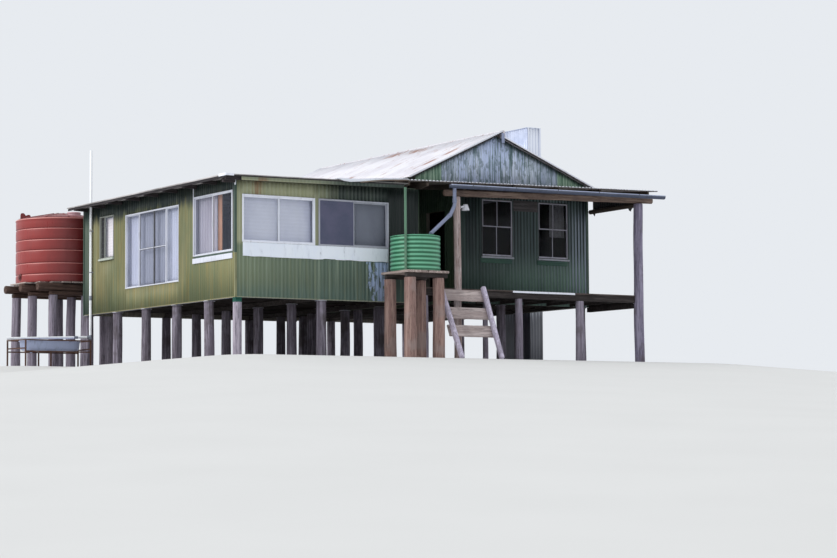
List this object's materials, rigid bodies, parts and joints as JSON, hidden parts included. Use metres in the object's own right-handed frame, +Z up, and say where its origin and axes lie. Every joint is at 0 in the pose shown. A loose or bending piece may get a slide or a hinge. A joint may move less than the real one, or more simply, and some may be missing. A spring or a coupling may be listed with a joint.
{
  "type": "stilt house",
  "caption": "Corrugated-iron cottage on round timber stumps, with a flat-roofed lean-to, a gabled room with a front verandah, raised water tanks, a chimney and steps.",
  "frame": {"origin": "on the ground under the lean-to's front-left corner stump", "axes": "+X along the front from the lean-to to the verandah, +Y from the front to the back, +Z up"},
  "size_m": [13.5804, 11.8698, 6.3],
  "materials": {
    "stump_timber": "weathered grey round timber",
    "stand_timber": "weathered red-brown round timber",
    "frame_timber": "weathered sawn hardwood",
    "floor_timber": "worn boards",
    "green_cladding": "weathered dark green paint on corrugated iron",
    "olive_cladding": "weathered olive paint on corrugated iron",
    "gable_cladding": "faded blue-grey paint with green streaks",
    "window_frame": "dull white",
    "sash_timber": "worn white paint",
    "glass": "clear",
    "curtain": "plain pale cloth",
    "white_panel": "chalky white paint",
    "green_board": "worn green paint",
    "roof_iron": "weathered galvanised iron",
    "white_roof": "pale weathered paint with rust streaks",
    "gutter_paint": "blue-grey paint",
    "chimney_iron": "galvanised iron",
    "white_plastic": "plain white",
    "bath_enamel": "dull blue-grey enamel",
    "rusty_steel": "rusty angle steel",
    "green_tank": "moulded, slightly chalky",
    "red_tank": "moulded, satin"
  },
  "bodies": {
    "root": {"lean_to_stumps": "stump_timber", "corner_packer": "green_board", "lean_to_subfloor": "frame_timber", "lean_to_floor": "floor_timber", "lean_to_front_wall": "green_cladding", "lean_to_left_wall": "olive_cladding", "lean_to_back_wall": "olive_cladding", "lean_to_right_wall": "green_cladding", "main_stumps": "stump_timber", "main_subfloor": "frame_timber", "main_floor": "floor_timber", "main_front_wall": "green_cladding", "main_right_wall": "green_cladding", "main_left_wall": "green_cladding", "main_back_wall": "green_cladding", "recess_side_wall": "green_cladding", "recess_back_wall": "green_cladding", "front_gable": "gable_cladding", "front_windows": "window_frame", "corner_window": "window_frame", "large_side_window": "window_frame", "small_side_window": "window_frame", "sash_windows": "sash_timber", "window_glass": "glass", "window_curtains": "curtain", "window_band_panel": "white_panel", "window_sills": "sash_timber", "wall_boards": "green_board", "lean_to_rafters": "frame_timber", "lean_to_roof": "roof_iron", "entry_roof_sheet": "white_roof", "verandah_rafters": "frame_timber", "verandah_roof": "roof_iron", "main_roof_left": "white_roof", "main_roof_right": "white_roof", "ridge_cap": "white_roof", "gable_finial": "white_panel", "verandah_posts": "stump_timber", "verandah_beam": "frame_timber", "deck_stumps": "stump_timber", "deck_bearers": "frame_timber", "deck_boards": "floor_timber", "recess_floor": "floor_timber", "step_stringers": "stump_timber", "step_boards": "stump_timber", "gutter": "gutter_paint", "downpipe": "gutter_paint", "chimney": "chimney_iron", "post_lamp": "white_plastic", "vent_pipe": "white_plastic", "bath_tub": "bath_enamel", "bath_frame": "rusty_steel", "stand_pole": "green_tank", "green_tank_shell": "green_tank", "green_tank_ends": "green_tank", "green_tank_stand": "stand_timber", "red_tank_shell": "red_tank", "red_tank_ends": "red_tank", "red_tank_stand": "stump_timber"}
  },
  "joints": []
}
